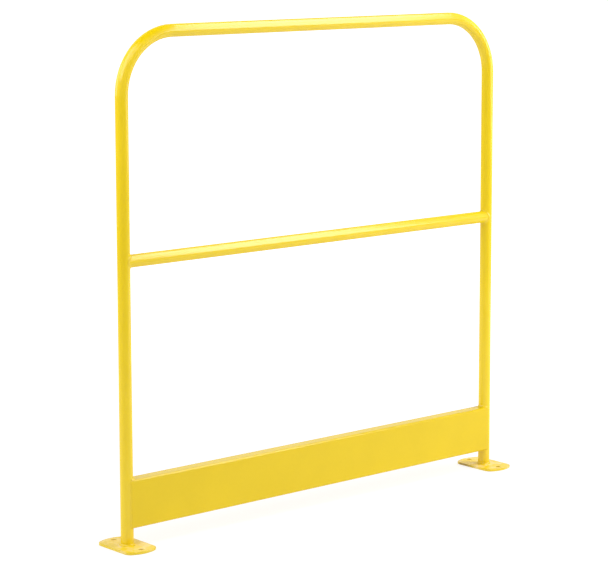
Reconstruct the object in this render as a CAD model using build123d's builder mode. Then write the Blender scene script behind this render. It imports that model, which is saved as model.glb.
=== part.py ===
from build123d import *
from math import acos, asin, degrees, sqrt
import os

os.makedirs("parts", exist_ok=True)

# Industrial guard rail: one bent hoop of round tube stands on two base plates,
# with a straight mid rail and a folded toe board welded between its posts.
# Origin on the floor midway between the posts, X along the rail, Y to its back, Z up.

# Overall sizes
rail_height = 1067.0      # floor to the crest of the top rail
post_spacing = 1040.0     # centre to centre of the two posts
mid_rail_z = 592.0        # floor to the centreline of the mid rail

# Round tube of the hoop and of the mid rail
tube_od = 26.7
tube_wall = 2.87
bend_radius = 127.0       # centreline radius of both top bends
fit_gap = 0.3             # root gap between a coped end and the tube that it is fitted to

# Base plates: a disc trimmed to two straight sides, with one bolt hole fore and one aft
foot_disc_d = 127.0
foot_width = 76.2
foot_thickness = 4.76
foot_corner_r = 18.0
foot_edge_r = 0.6
foot_hole_d = 10.3
foot_hole_inset = 15.9    # hole centre to the end of the plate

# Toe board: sheet folded to a channel, open at the back
board_bottom_z = 40.0
board_height = 101.6
board_sheet = 1.9
board_bend_r = 2.0        # inside of the fold
flange_reach = 3.4        # how far the flange ends reach in round the sides of the posts
board_lap_gap = 0.1       # between the web and the front of the posts
board_end_inset = 2.0     # how far short of the posts' centre lines the web ends

# Weld beads
foot_weld_leg = 4.0
rail_bead_r = 3.0
rail_bead_proud = 1.3     # height of the bead at the flush sides of the saddle
tab_bead_r = 2.4
flange_bead_r = 4.5

# Values that follow from the sizes above
tube_r = tube_od / 2
bore_r = tube_r - tube_wall
post_x = post_spacing / 2
foot_hole_y = foot_disc_d / 2 - foot_hole_inset
web_back_y = -(tube_r + board_lap_gap)
web_front_y = web_back_y - board_sheet
board_depth = tube_r - web_front_y
board_end_x = post_x - board_end_inset
board_top_z = board_bottom_z + board_height
fold_outer_r = board_bend_r + board_sheet
board_tab = tube_r - flange_reach
rail_bead_sink = rail_bead_r - rail_bead_proud

# Hoop: post, bend, top rail, bend and post in one length of tube, its cut ends on the plates
with BuildPart() as hoop_tube:
    with BuildLine(Plane.XZ) as hoop_path:
        FilletPolyline(
            (-post_x, foot_thickness),
            (-post_x, rail_height - tube_r),
            (post_x, rail_height - tube_r),
            (post_x, foot_thickness),
            radius=bend_radius,
        )
    with BuildSketch(Plane.XY.offset(foot_thickness)):
        with Locations((-post_x, 0)):
            Circle(tube_r)
            Circle(bore_r, mode=Mode.SUBTRACT)
    sweep()
hoop_tube.part.label = "hoop_tube"

# Mid rail: straight tube, both ends fish-mouthed to sit round the posts
with BuildPart() as mid_rail:
    with BuildSketch(Plane.YZ):
        with Locations((0, mid_rail_z)):
            Circle(tube_r)
            Circle(bore_r, mode=Mode.SUBTRACT)
    extrude(amount=post_x, both=True)
    with BuildSketch(Plane.XY.offset(mid_rail_z)):
        with Locations((-post_x, 0), (post_x, 0)):
            Circle(tube_r + fit_gap)
    extrude(amount=tube_od, both=True, mode=Mode.SUBTRACT)
mid_rail.part.label = "mid_rail"

# Toe board: web in front of the posts, a flange folded back along its top and bottom
with BuildPart() as toe_board:
    with BuildSketch(Plane.YZ) as channel:
        with Locations((web_front_y, board_bottom_z)):
            Rectangle(board_depth, board_height, align=(Align.MIN, Align.MIN))
        fillet(channel.vertices().group_by(Axis.X)[0], radius=fold_outer_r)
        with Locations((web_back_y, board_bottom_z + board_sheet)):
            Rectangle(
                board_depth,
                board_height - 2 * board_sheet,
                align=(Align.MIN, Align.MIN),
                mode=Mode.SUBTRACT,
            )
        hollow_corners = channel.vertices().filter_by(lambda v: abs(v.X - web_back_y) < 0.01)
        fillet(hollow_corners, radius=board_bend_r)
    extrude(amount=board_end_x, both=True)
    # Both flanges are notched and coped round the posts, behind the back face of the web.
    # The web and the front of both folds run on across the posts at full height.
    for notch_z in (board_bottom_z, board_top_z - fold_outer_r):
        with BuildSketch(Plane.XY.offset(notch_z)):
            with Locations((-post_x, 0), (post_x, 0)):
                Circle(tube_r + fit_gap)
                Rectangle(2 * board_tab, 2 * board_depth)
            with Locations((0, web_back_y)):
                Rectangle(
                    2 * post_spacing,
                    2 * board_depth,
                    align=(Align.CENTER, Align.MAX),
                    mode=Mode.SUBTRACT,
                )
        extrude(amount=fold_outer_r, mode=Mode.SUBTRACT)
toe_board.part.label = "toe_board"

# Base plates
with BuildPart() as left_base_plate:
    with BuildSketch(Plane.XY) as foot_outline:
        with Locations((-post_x, 0)):
            Circle(foot_disc_d / 2)
            Rectangle(foot_width, foot_disc_d, mode=Mode.INTERSECT)
        fillet(foot_outline.vertices(), radius=foot_corner_r)
    extrude(amount=foot_thickness)
    fillet(left_base_plate.edges().group_by(Axis.Z)[-1], radius=foot_edge_r)
    with Locations((-post_x, -foot_hole_y), (-post_x, foot_hole_y)):
        Hole(foot_hole_d / 2)
left_base_plate.part.label = "left_base_plate"

with BuildPart() as right_base_plate:
    mirror(left_base_plate.part, about=Plane.YZ)
right_base_plate.part.label = "right_base_plate"

# Foot welds: a slightly crowned fillet bead all round each post on its plate
with BuildPart() as left_foot_weld:
    with BuildSketch(Plane.XZ) as bead_section:
        with BuildLine():
            toe = (-post_x + tube_r + foot_weld_leg, foot_thickness)
            crown = (-post_x + tube_r + 0.56 * foot_weld_leg, foot_thickness + 0.56 * foot_weld_leg)
            top = (-post_x + tube_r, foot_thickness + foot_weld_leg)
            ThreePointArc(toe, crown, top)
            Polyline(top, (-post_x + tube_r, foot_thickness), toe)
        make_face()
    revolve(axis=Axis((-post_x, 0, 0), (0, 0, 1)))
left_foot_weld.part.label = "left_foot_weld"

with BuildPart() as right_foot_weld:
    mirror(left_foot_weld.part, about=Plane.YZ)
right_foot_weld.part.label = "right_foot_weld"

# Saddle welds: two tubes of one size meet along two half ellipses, each in a plane at
# 45 degrees. The bead fills the corner at top and bottom and lies low at the flush sides.
# It is shaped about the point where both axes cross, less the outsides of both tubes.
with BuildPart() as crossing_tubes:
    with BuildSketch(Plane.XY.offset(-2 * tube_od)):
        Circle(tube_r)
    extrude(amount=4 * tube_od)
    with BuildSketch(Plane.YZ):
        Circle(tube_r)
    extrude(amount=2 * tube_od)

with BuildPart() as saddle_bead:
    for lean in (1, -1):
        with BuildLine(Plane(origin=(0, 0, 0), x_dir=(0, 1, 0), z_dir=(lean, 0, -1))) as seam:
            EllipticalCenterArc((0, 0), tube_r - rail_bead_sink, tube_r * sqrt(2), arc_size=180)
        with BuildSketch(Plane(origin=seam.line @ 0, z_dir=seam.line % 0)):
            Circle(rail_bead_r)
        sweep()
    with Locations((0, tube_r - rail_bead_sink, 0), (0, rail_bead_sink - tube_r, 0)):
        Sphere(rail_bead_r)
    add(crossing_tubes.part, mode=Mode.SUBTRACT)

with BuildPart() as left_rail_weld:
    with Locations((-post_x, 0, mid_rail_z)):
        add(saddle_bead.part)
left_rail_weld.part.label = "left_rail_weld"

with BuildPart() as right_rail_weld:
    mirror(left_rail_weld.part, about=Plane.YZ)
right_rail_weld.part.label = "right_rail_weld"

# Tab welds: an upright bead along the end of the board's web, on the front of the post
with BuildPart() as left_tab_weld:
    with BuildSketch(Plane.XY.offset(board_bottom_z + fold_outer_r)):
        with Locations((-board_end_x, web_back_y)):
            Circle(tab_bead_r)
    extrude(amount=board_height - 2 * fold_outer_r)
    with Locations(
        (-board_end_x, web_back_y, board_bottom_z + fold_outer_r),
        (-board_end_x, web_back_y, board_top_z - fold_outer_r),
    ):
        Sphere(tab_bead_r)
    with BuildSketch(Plane.XY.offset(board_bottom_z)):
        with Locations((-post_x, 0)):
            Circle(tube_r)
        with Locations((-board_end_x, 0)):
            Rectangle(tube_od, 2 * tube_od, align=(Align.MIN, Align.CENTER))
    extrude(amount=board_height, mode=Mode.SUBTRACT)
left_tab_weld.part.label = "left_tab_weld"

with BuildPart() as right_tab_weld:
    mirror(left_tab_weld.part, about=Plane.YZ)
right_tab_weld.part.label = "right_tab_weld"

# Flange welds: a heavy bead on the upper flange, round the side of the post that it meets,
# from the back face of the web to just short of the flange's back corner
flange_weld_front = degrees(asin((tube_r + board_lap_gap - flange_bead_r) / tube_r))
flange_weld_back = degrees(acos(board_tab / tube_r) - flange_bead_r / tube_r)
with BuildPart() as left_flange_weld:
    with BuildLine(Plane.XY.offset(board_top_z)) as seam:
        CenterArc((-post_x, 0), tube_r, -flange_weld_front, flange_weld_front + flange_weld_back)
    with BuildSketch(Plane(origin=seam.line @ 0, z_dir=seam.line % 0)):
        Circle(flange_bead_r)
    sweep()
    with Locations(seam.line @ 0, seam.line @ 1):
        Sphere(flange_bead_r)
    with BuildSketch(Plane.XY.offset(board_top_z)):
        with Locations((-post_x, 0)):
            Circle(tube_r)
    extrude(amount=2 * flange_bead_r, mode=Mode.SUBTRACT)
    with BuildSketch(Plane.XY.offset(board_top_z)):
        with Locations((-post_x, 0)):
            Circle(2 * tube_od)
    extrude(amount=-2 * flange_bead_r, mode=Mode.SUBTRACT)
left_flange_weld.part.label = "left_flange_weld"

with BuildPart() as right_flange_weld:
    mirror(left_flange_weld.part, about=Plane.YZ)
right_flange_weld.part.label = "right_flange_weld"

export_step(hoop_tube.part, "parts/hoop_tube.step")
export_step(mid_rail.part, "parts/mid_rail.step")
export_step(toe_board.part, "parts/toe_board.step")
export_step(left_base_plate.part, "parts/left_base_plate.step")
export_step(right_base_plate.part, "parts/right_base_plate.step")
export_step(left_foot_weld.part, "parts/left_foot_weld.step")
export_step(right_foot_weld.part, "parts/right_foot_weld.step")
export_step(left_rail_weld.part, "parts/left_rail_weld.step")
export_step(right_rail_weld.part, "parts/right_rail_weld.step")
export_step(left_tab_weld.part, "parts/left_tab_weld.step")
export_step(right_tab_weld.part, "parts/right_tab_weld.step")
export_step(left_flange_weld.part, "parts/left_flange_weld.step")
export_step(right_flange_weld.part, "parts/right_flange_weld.step")
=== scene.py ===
from math import asin, cos, hypot, pi, radians, sin, sqrt

import bmesh
import bpy
from mathutils import Matrix, Vector


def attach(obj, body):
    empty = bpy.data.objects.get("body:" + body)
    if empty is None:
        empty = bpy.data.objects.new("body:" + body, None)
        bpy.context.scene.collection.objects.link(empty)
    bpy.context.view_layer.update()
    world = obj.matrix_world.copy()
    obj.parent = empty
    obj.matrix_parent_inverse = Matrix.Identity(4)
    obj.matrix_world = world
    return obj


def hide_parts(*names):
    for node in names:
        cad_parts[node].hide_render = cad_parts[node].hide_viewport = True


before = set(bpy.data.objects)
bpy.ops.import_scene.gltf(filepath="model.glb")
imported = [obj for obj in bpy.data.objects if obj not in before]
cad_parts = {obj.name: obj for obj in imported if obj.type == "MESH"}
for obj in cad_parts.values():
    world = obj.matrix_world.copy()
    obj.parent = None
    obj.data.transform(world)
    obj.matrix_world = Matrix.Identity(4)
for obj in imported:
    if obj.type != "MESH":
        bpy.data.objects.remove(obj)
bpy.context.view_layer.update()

# Camera. It stands at chest height off the left end of the rail, some 4.7 m away, and looks
# down along the front of it through a long lens, so the right post is the farther one. The
# frame is shifted down a little, so the lens axis meets the picture above its middle.
view_from = (-3.1245, -3.5679, 1.2763)
view_yaw = radians(40.855)
view_pitch = radians(-8.014)
view_roll = radians(-0.103)
focal_px = 2208.55
picture_width_px = 608
picture_height_px = 568
axis_row_px = 230
ahead = Vector((sin(view_yaw) * cos(view_pitch), cos(view_yaw) * cos(view_pitch), sin(view_pitch)))
level_right = Vector((cos(view_yaw), -sin(view_yaw), 0))
level_up = level_right.cross(ahead)
image_right = level_right * cos(view_roll) + level_up * sin(view_roll)
image_up = level_up * cos(view_roll) - level_right * sin(view_roll)
camera_data = bpy.data.cameras.new("camera")
camera_data.lens = camera_data.sensor_width * focal_px / picture_width_px
camera_data.shift_y = (axis_row_px - picture_height_px / 2) / picture_width_px
camera_data.clip_start = 0.1
camera_data.clip_end = 200
camera = bpy.data.objects.new("camera", camera_data)
turned = Matrix((image_right, image_up, -ahead)).transposed()
camera.matrix_world = Matrix.Translation(view_from) @ turned.to_4x4()
bpy.context.scene.collection.objects.link(camera)
bpy.context.scene.camera = camera
bpy.context.scene.view_settings.view_transform = "Standard"


# Studio floor: a plain pale sheet of matt paper that runs far out on all sides. From just in
# front of the rail to far behind it, it glows white, as a backdrop does that is lit from below,
# and it fades softly to bare paper on the near side and at both flanks, which spread apart.
class Flow:
    """A shader socket. Plain arithmetic on it adds Math nodes."""

    def __init__(self, recipe, socket):
        self.recipe = recipe
        self.socket = socket

    def _math(self, operation, first, second):
        return self.recipe.add("ShaderNodeMath", {"operation": operation}, {0: first, 1: second})

    def __add__(self, other):
        return self._math("ADD", self, other)

    def __radd__(self, other):
        return self._math("ADD", other, self)

    def __sub__(self, other):
        return self._math("SUBTRACT", self, other)

    def __rsub__(self, other):
        return self._math("SUBTRACT", other, self)

    def __mul__(self, other):
        return self._math("MULTIPLY", self, other)

    def __rmul__(self, other):
        return self._math("MULTIPLY", other, self)


class Recipe:
    """The node tree of one finish, of the floor or of the light round them."""

    def __init__(self, owner):
        owner.use_nodes = True
        self.tree = owner.node_tree
        self.tree.nodes.clear()

    def add(self, kind, settings=None, values=None, out=0):
        """Adds a node with its settings and each input's value or link, and gives one output."""
        node = self.tree.nodes.new(kind)
        for name, value in (settings or {}).items():
            setattr(node, name, value)
        for name, value in (values or {}).items():
            if isinstance(value, Flow):
                self.tree.links.new(value.socket, node.inputs[name])
            else:
                node.inputs[name].default_value = value
        return Flow(self, node.outputs[out]) if node.outputs else None

    def smooth(self, value, low, high):
        """A soft step from 0 at low to 1 at high."""
        return self.add(
            "ShaderNodeMapRange",
            {"interpolation_type": "SMOOTHSTEP"},
            {"Value": value, "From Min": low, "From Max": high},
        )

    def along(self, position, axis):
        """How far a position lies along an axis, or how nearly two directions agree."""
        return self.add(
            "ShaderNodeVectorMath", {"operation": "DOT_PRODUCT"}, {0: position, 1: axis}, out="Value"
        )

    def blend(self, factor, first, second):
        """The first colour where factor is 0 and the second where it is 1.

        The Mix node's inputs 6 and 7 and its output 2 are the ones for colour.
        """
        return self.add(
            "ShaderNodeMix", {"data_type": "RGBA"}, {"Factor": factor, 6: first, 7: second}, out=2
        )


floor_reach = 60.0
floor_z = -0.0004
floor_corners = ((-1, -1), (1, -1), (1, 1), (-1, 1))
floor_mesh = bpy.data.meshes.new("studio_floor")
floor_mesh.from_pydata(
    [(x * floor_reach, y * floor_reach, floor_z) for x, y in floor_corners], [], [(0, 1, 2, 3)]
)
studio_floor = bpy.data.objects.new("studio_floor", floor_mesh)
bpy.context.scene.collection.objects.link(studio_floor)
floor_paper = bpy.data.materials.new("floor_paper")
recipe = Recipe(floor_paper)
place = recipe.add("ShaderNodeNewGeometry", out="Position")
far_side = (sin(view_yaw), cos(view_yaw), 0)
near_right = (cos(view_yaw), -sin(view_yaw), 0)
bare_paper = (0.80, 0.80, 0.80, 1)
lit_paper = (0.35, 0.35, 0.35, 1)
dark = (0.0, 0.0, 0.0, 1)
lamplight = (1.02, 1.02, 1.02, 1)
near_fade = (-1.25, -0.5)
flank_fade = (0.68, 4.2)
widening = 0.16
near_glow = 0.66
far_gain = 0.34
gain_reach = 3.0
depth = recipe.along(place, far_side)
aside = recipe.add("ShaderNodeMath", {"operation": "ABSOLUTE"}, {0: recipe.along(place, near_right)})
spread = aside - depth * widening
lit_sheet = recipe.smooth(depth, *near_fade) * (1 - recipe.smooth(spread, *flank_fade))
glow = lit_sheet * (near_glow + recipe.smooth(depth, 0.0, gain_reach) * far_gain)
paper = recipe.add(
    "ShaderNodeBsdfPrincipled",
    None,
    {
        "Base Color": recipe.blend(lit_sheet, bare_paper, lit_paper),
        "Roughness": 0.9,
        "Specular IOR Level": 0.1,
        "Emission Color": recipe.blend(glow, dark, lamplight),
        "Emission Strength": 1.0,
    },
)
recipe.add("ShaderNodeOutputMaterial", None, {"Surface": paper})
floor_mesh.materials.append(floor_paper)

# Studio light: a pale room that is dimmer on the camera's side and dark overhead, one large
# softbox of four panels curved round the right of the rail, which draws the pale streak along
# both rails, and four smaller lamps that draw the softer streaks on the posts and bends.
room = bpy.data.worlds.new("pale_room")
bpy.context.scene.world = room
recipe = Recipe(room)
heading = recipe.add("ShaderNodeTexCoord", out="Generated")
toward_back = recipe.smooth(recipe.along(heading, far_side), -0.5, 0.7)
upward = recipe.smooth(recipe.along(heading, (0, 0, 1)), 0.4, 0.95)
toward_left = recipe.smooth(recipe.along(heading, near_right), 0.3, -0.8)
wall_light = 0.62
back_gain = 0.38
left_gain = 0.08
ceiling_loss = 0.92
walls = wall_light + toward_back * back_gain + toward_left * left_gain
brightness = walls * (1 - upward * ceiling_loss)
room_light = recipe.add(
    "ShaderNodeBackground", None, {"Color": (1, 1, 1, 1), "Strength": brightness}
)
recipe.add("ShaderNodeOutputWorld", None, {"Surface": room_light})


def softbox(name, centre, aim, width, height, radiance):
    """A square-cornered studio lamp at centre that faces aim. Width lies level."""
    lamp = bpy.data.lights.new(name, "AREA")
    lamp.shape = "RECTANGLE"
    lamp.size = width
    lamp.size_y = height
    lamp.energy = radiance * pi * width * height
    stand = bpy.data.objects.new(name, lamp)
    facing = (Vector(aim) - Vector(centre)).to_track_quat("-Z", "Y")
    stand.matrix_world = Matrix.Translation(centre) @ facing.to_matrix().to_4x4()
    bpy.context.scene.collection.objects.link(stand)


curve_axis = (2.0, 0.0, 0.95)
panel_side = 1.2
softbox("softbox_crest", (2.0, 0.17, 3.34), curve_axis, panel_side, panel_side, 5.0)
softbox("softbox_top", (2.0, -0.98, 3.14), curve_axis, panel_side, panel_side, 5.8)
softbox("softbox_middle", (2.0, -1.92, 2.39), curve_axis, panel_side, panel_side, 5.6)
softbox("softbox_low", (2.0, -2.37, 1.33), curve_axis, panel_side, panel_side, 5.8)
softbox("panel_left", (-1.9, 1.6, 1.5), (-0.5, 0.0, 0.8), 1.4, 1.4, 1.6)
softbox("softbox_left", (-1.9, -0.2, 2.3), (-0.5, 0.0, 0.6), 1.9, 1.9, 3.0)
softbox("softbox_front", (-0.9, -1.3, 2.1), (-0.3, 0.0, 0.9), 1.0, 0.6, 1.8)
softbox("panel_right", (2.9, -1.3, 1.0), (0.5, 0.0, 0.8), 0.9, 1.2, 3.8)


# Hoop: one length of 26.7 mm steel tube with a 127 mm bend at each top corner, both posts and
# the top rail in one. Glossy safety-yellow powder coat with a fine orange peel, baked on
# after all the welding, so one skin runs over tube and beads alike.
def powder_coat(
    name,
    tint,
    peel=1.0,
    edge_wear_and_shade=0.0,
    wear_and_shade_width=0.0012,
    density=1.56,
    rim_fade=0.85,
    blotch_and_sheen=0.0,
    brown_side_x=None,
):
    """Baked powder paint: even colour, orange peel, faint clouding and dust nibs.

    The edge darkening and the pale patches each run from 0 to 1, and the edge width is how far in
    from an edge the coat turns darker: a thinner coat on the board, and painted shade on the base
    plates. The pale patches are part random mottle and part painted pale sheen. Density is the
    paint's index of refraction. The peel shades itself where it is seen aslant, so the gloss fades
    there by up to rim_fade. The side of a piece that lies at the given x is coloured dark brown
    toward the back.
    """
    paint = bpy.data.materials.new(name)
    recipe = Recipe(paint)
    where = recipe.add("ShaderNodeTexCoord", out="Object")

    def noise(scale, detail):
        return recipe.add(
            "ShaderNodeTexNoise", None, {"Vector": where, "Scale": scale, "Detail": detail}
        )

    def shade(amount):
        return tuple(c * amount for c in tint) + (1,)

    cloud = noise(9, 3)
    mottle = noise(160, 2)
    nib = recipe.smooth(noise(520, 1), 0.74, 0.82)
    clouding = recipe.smooth(cloud * 0.75 + mottle * 0.25, 0.3, 0.7)
    colour = recipe.blend(clouding, shade(0.972), shade(1.018))
    # Pale chalky patches: part random mottle in the coat, part painted pale sheen.
    if blotch_and_sheen:
        chalky_mottle_and_sheen = (0.88, 0.69, 0.26, 1)
        mottle_and_sheen_patches = recipe.smooth(noise(42, 3) * 0.8 + mottle * 0.2, 0.44, 0.64)
        colour = recipe.blend(mottle_and_sheen_patches * blotch_and_sheen, colour, chalky_mottle_and_sheen)
    # Near every edge the colour goes darker within the given width: a thinner coat on the board's
    # cut edges and folds, and painted shade on the plates' cut sides and round their holes.
    if edge_wear_and_shade:
        worn_and_shaded_coat = (tint[0] * 0.56, tint[1] * 0.53, 0.02, 1)
        rounded = recipe.add("ShaderNodeBevel", {"samples": 4}, {"Radius": wear_and_shade_width})
        face = recipe.add("ShaderNodeNewGeometry", out="Normal")
        turn = 1 - recipe.along(rounded, face)
        worn_and_shaded_edge = recipe.smooth(turn + (noise(70, 3) - 0.5) * 0.12, 0.05, 0.30)
        colour = recipe.blend(worn_and_shaded_edge * edge_wear_and_shade, colour, worn_and_shaded_coat)
    # A dark brown patch on one side face toward the back, at the given x.
    if brown_side_x:
        side_brown = (0.27, 0.17, 0.03, 1)
        east = recipe.along(where, (1, 0, 0)) + (noise(240, 2) - 0.5) * 0.0016
        north = recipe.along(where, (0, 1, 0)) + (noise(90, 2) - 0.5) * 0.02
        brown_patch = recipe.smooth(east, brown_side_x + 0.0012, brown_side_x) * recipe.smooth(north, -0.012, 0.022)
        colour = recipe.blend(brown_patch * 0.85, colour, side_brown)
    peel_height = noise(330, 2) * 0.7 + noise(900, 1) * 0.18 + nib * 0.35
    peel_depth = 0.00011 * peel
    skin = recipe.add(
        "ShaderNodeBump", None, {"Strength": 0.35, "Distance": peel_depth, "Height": peel_height}
    )
    gloss_coat = recipe.add(
        "ShaderNodeBsdfPrincipled",
        None,
        {
            "Base Color": colour,
            "Roughness": 0.14 + cloud * 0.04 + mottle * 0.04,
            "IOR": density,
            "Normal": skin,
        },
    )
    matt_coat = recipe.add(
        "ShaderNodeBsdfPrincipled",
        None,
        {"Base Color": colour, "Roughness": 0.6, "Specular IOR Level": 0.0, "Normal": skin},
    )
    slant = recipe.add("ShaderNodeLayerWeight", None, {"Blend": 0.5}, out="Facing")
    matt_share = recipe.smooth(slant, 0.38, 0.88) * rim_fade
    coat = recipe.add("ShaderNodeMixShader", None, {0: matt_share, 1: gloss_coat, 2: matt_coat})
    recipe.add("ShaderNodeOutputMaterial", None, {"Surface": coat})
    return paint


def finish_node(node, paint):
    """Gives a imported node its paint, in every slot it has."""
    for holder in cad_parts[node].material_slots:
        holder.material = paint


tube_yellow = (0.82, 0.592, 0.002)
tube_paint = powder_coat("tube_powder_coat", tube_yellow)
finish_node("hoop_tube", tube_paint)

# Mid rail: a straight length of the same tube, its ends cut to a fish mouth that sits round
# the posts. Cut, fitted and welded before it is painted with the hoop.
mid_rail_paint = powder_coat("mid_rail_powder_coat", tube_yellow)
finish_node("mid_rail", mid_rail_paint)

# Toe board: 1.9 mm sheet folded to a shallow channel, 101.6 mm high, whose web passes in front
# of both posts. The coat lies a little thinner along the cut edges and the folds.
# This yellow is a darker copy of the tube yellow of the same coat, which paints shade on the board's
# upright front face.
board_yellow_shaded = (0.738, 0.525, 0.002)
board_paint = powder_coat(
    "board_powder_coat", board_yellow_shaded, peel=1.15, edge_wear_and_shade=0.35, density=1.42, rim_fade=0.2
)
finish_node("toe_board", board_paint)

# Base plates: 4.76 mm steel cut from a 127 mm disc with two straight sides, with a bolt hole
# fore and aft. The coat is blotched with pale chalky patches, part random mottle and part painted
# pale sheen. It is darker along the cut edge and round the holes, which is painted shade, and the
# right plate's inner side is coloured dark brown toward the back.
# The plate yellow is paler and bluer than the tube yellow, which paints part of the pale sheen on
# the flat tops.
plate_yellow = (0.83, 0.605, 0.025)
inner_side_x = 0.4819
plate_look = {"edge_wear_and_shade": 1.0, "wear_and_shade_width": 0.0042, "density": 1.38, "rim_fade": 0.45}
plate_paint = powder_coat("plate_powder_coat", plate_yellow, blotch_and_sheen=0.75, **plate_look)
finish_node("left_base_plate", plate_paint)
brown_side_plate_paint = powder_coat(
    "brown_side_plate_coat", plate_yellow, blotch_and_sheen=0.9, brown_side_x=inner_side_x, **plate_look
)
finish_node("right_base_plate", brown_side_plate_paint)


# Foot welds: a hollow fillet bead with 3.6 mm legs all the way round the foot of each post, laid
# in one pass, so it shows the faint ripple of the pool under the paint.
tube_radius = 0.01335
plate_top = 0.00476
post_x = 0.520
both_ends = ((-1, "left"), (1, "right"))
weld_yellow = (0.80, 0.57, 0.003)
weld_paint = powder_coat("weld_powder_coat", weld_yellow, peel=1.2)


def lay_bead(name, node, stations, closed, ripple):
    """Skins a bead over stations of (toe on one face, toe on the other, root, outward, crown).

    A crown below 0 makes the bead hollow. The ripple is how far it waves in and out. Its waves
    bow forward along the middle of the bead by a share of their pitch, and drift a little.
    """
    steps = 10
    ripple_pitch = 0.0024
    full_width = 0.0024
    bow = 0.42
    drift = 0.13
    rows = []
    travelled = 0.0
    for i, (toe_a, toe_b, root, outward, crown) in enumerate(stations):
        if i:
            travelled += ((toe_a + toe_b) / 2 - (stations[i - 1][0] + stations[i - 1][1]) / 2).length
        fullness = min(1, (toe_a - toe_b).length / full_width)
        ring = []
        for k in range(steps + 1):
            s = k / steps
            arch = 4 * s * (1 - s)
            wave = travelled / ripple_pitch + bow * arch + drift * sin(travelled * 610)
            hump = arch * arch if crown > 0 else arch
            lift = crown * hump + ripple * (2 * sin(pi * wave) ** 2 - 1) * fullness * arch
            ring.append(toe_a.lerp(toe_b, s) + outward * lift)
        ring.append(root)
        rows.append(ring)
    mesh = bmesh.new()
    grid = [[mesh.verts.new(point) for point in ring] for ring in rows]
    across = len(grid[0])
    seam_edges = (0, steps, steps + 1)
    for i in range(len(grid) if closed else len(grid) - 1):
        here, there = grid[i], grid[(i + 1) % len(grid)]
        for k in range(across):
            mesh.faces.new((here[k], here[(k + 1) % across], there[(k + 1) % across], there[k]))
        for k in seam_edges:
            mesh.edges.get((here[k], there[k])).smooth = False
    if not closed:
        mesh.faces.new(grid[0][::-1])
        mesh.faces.new(grid[-1])
    bmesh.ops.recalc_face_normals(mesh, faces=mesh.faces)
    for face in mesh.faces:
        face.smooth = True
    data = bpy.data.meshes.new(name)
    mesh.to_mesh(data)
    mesh.free()
    data.materials.append(weld_paint)
    bead = bpy.data.objects.new(name, data)
    bpy.context.scene.collection.objects.link(bead)
    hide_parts(node)
    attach(bead, "root")


foot_leg = 0.0036
foot_crown = -0.00050
root_sink = 0.0002
skim = Vector((0, 0, 0.00002))
for side, word in both_ends:
    stations = []
    count = 300
    for i in range(count):
        a = 2 * pi * i / count
        out = Vector((cos(a), sin(a), 0))
        axis = Vector((side * post_x, 0, plate_top))
        leg = foot_leg * (1 + 0.05 * sin(3 * a + side) + 0.04 * sin(7 * a))
        on_post = axis + out * tube_radius + Vector((0, 0, leg * 0.98))
        on_plate = axis + out * (tube_radius + leg) + skim
        root = axis + out * (tube_radius - root_sink) + skim
        outward = (out + Vector((0, 0, 1))).normalized()
        stations.append((on_post, on_plate, root, outward, foot_crown))
    lay_bead(f"{word}_foot_bead", f"{word}_foot_weld", stations, closed=True, ripple=0.00005)

# Mid rail welds: the rail and the post are one size, so the bead climbs over a saddle. It is a
# full fillet above and below the rail, and a low flat bead where both tubes run flush.
mid_rail_z = 0.592
rail_leg = 0.0036
hollow_crown = -0.00055
flush_gain = 0.0015
seat_ratio = 0.988
rail_root_sink = 0.0004
for side, word in both_ends:
    saddle = Vector((side * post_x, 0, mid_rail_z))
    stations = []
    count = 320
    for i in range(count):
        a = 2 * pi * i / count
        flush = abs(sin(a)) ** 3
        turn = asin(seat_ratio * sin(a))
        leg = rail_leg - 0.0004 * flush + 0.00018 * sin(5 * a + side) + 0.00012 * sin(11 * a)
        crown = hollow_crown + flush_gain * flush
        climb = cos(a) / hypot(cos(a), 0.16)
        slant = hypot(sin(a), climb)
        turn_out = turn + leg * sin(a) / slant / tube_radius

        def inward(x, y, z):
            return saddle + Vector((-side * x, y, z))

        on_rail = inward(tube_radius * cos(turn) + leg, tube_radius * sin(a), tube_radius * cos(a))
        on_post = inward(
            tube_radius * cos(turn_out),
            tube_radius * sin(turn_out),
            tube_radius * cos(a) + leg * climb / slant,
        )
        outward = Vector((-side * cos(turn), sin(turn) + sin(a), cos(a))).normalized()
        seam = inward(tube_radius * cos(turn), tube_radius * sin(turn), tube_radius * cos(a))
        stations.append((on_rail, on_post, seam - outward * rail_root_sink, outward, crown))
    lay_bead(f"{word}_rail_bead", f"{word}_rail_weld", stations, closed=True, ripple=0.00006)


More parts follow.
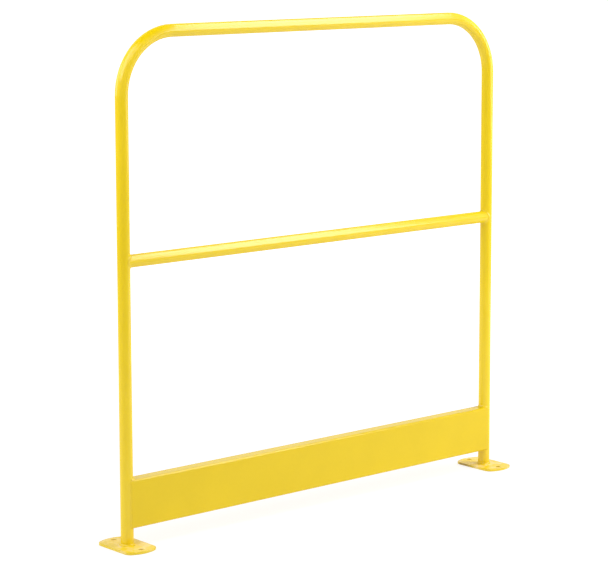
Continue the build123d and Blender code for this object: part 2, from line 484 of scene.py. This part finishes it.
# Toe board end welds: an upright bead closes each end of the web against the front of the post.
# It is nearly as long as the web is high, and thins out toward its two ends.
def swell(along, length, run_in, run_out):
    """How full an open bead is: round at both ends, full between."""
    near_end = min(1, along / run_in, (length - along) / run_out)
    return 0.12 + 0.88 * sqrt(1 - (1 - near_end) ** 2)


board_low_z = 0.040
board_top_z = 0.1416
board_sheet = 0.0019
board_end_inset = 0.002
board_end_x = post_x - board_end_inset
web_front_y = -0.01535
tab_leg = 0.0022
tab_crown = 0.00018
end_clear = 0.0008
for side, word in both_ends:
    stations = []
    count = 260
    length = board_top_z - board_low_z - 2 * end_clear
    for i in range(count + 1):
        along = length * i / count
        z = board_low_z + end_clear + along
        full = swell(along, length, 0.0030, 0.0030)
        leg = tab_leg * full * (1 + 0.06 * sin(z * 470) + 0.05 * sin(z * 1190 + side))
        reach = leg - board_end_inset
        toe_y = web_front_y + board_sheet * (1 - full) + 0.00012
        on_web = Vector((side * board_end_x, toe_y, z))
        on_post = Vector((side * (post_x + reach), -sqrt(tube_radius**2 - reach**2), z))
        root = Vector((side * (board_end_x - 0.0001), 0.0001 - tube_radius, z))
        outward = Vector((side, -1, 0)).normalized()
        stations.append((on_web, on_post, root, outward, tab_crown * full))
    lay_bead(f"{word}_tab_bead", f"{word}_tab_weld", stations, closed=False, ripple=0.00005)

# Ledge welds: a heavy fillet joins the coped end of the upper flange to the inner side of the
# post, from the back of the web round to the back corner of the flange.
ledge_leg = 0.0047
ledge_crown = -0.00065
start, stop = radians(-79), radians(42)
for side, word in both_ends:
    stations = []
    count = 110
    length = (stop - start) * tube_radius
    for i in range(count + 1):
        a = start + (stop - start) * i / count
        full = swell(length * i / count, length, 0.0100, 0.0045)
        leg = ledge_leg * full * (1 + 0.05 * sin(9 * a) + 0.04 * sin(21 * a + side))
        out = Vector((-side * cos(a), sin(a), 0))
        foot = Vector((side * post_x, 0, board_top_z))
        on_post = foot + out * tube_radius + Vector((0, 0, leg * 1.25))
        on_ledge = foot + out * (tube_radius + leg) + skim
        root = foot + out * (tube_radius - root_sink) + skim / 2
        outward = (out + Vector((0, 0, 1))).normalized()
        stations.append((on_post, on_ledge, root, outward, ledge_crown * full))
    lay_bead(f"{word}_flange_bead", f"{word}_flange_weld", stations, closed=False, ripple=0.00008)
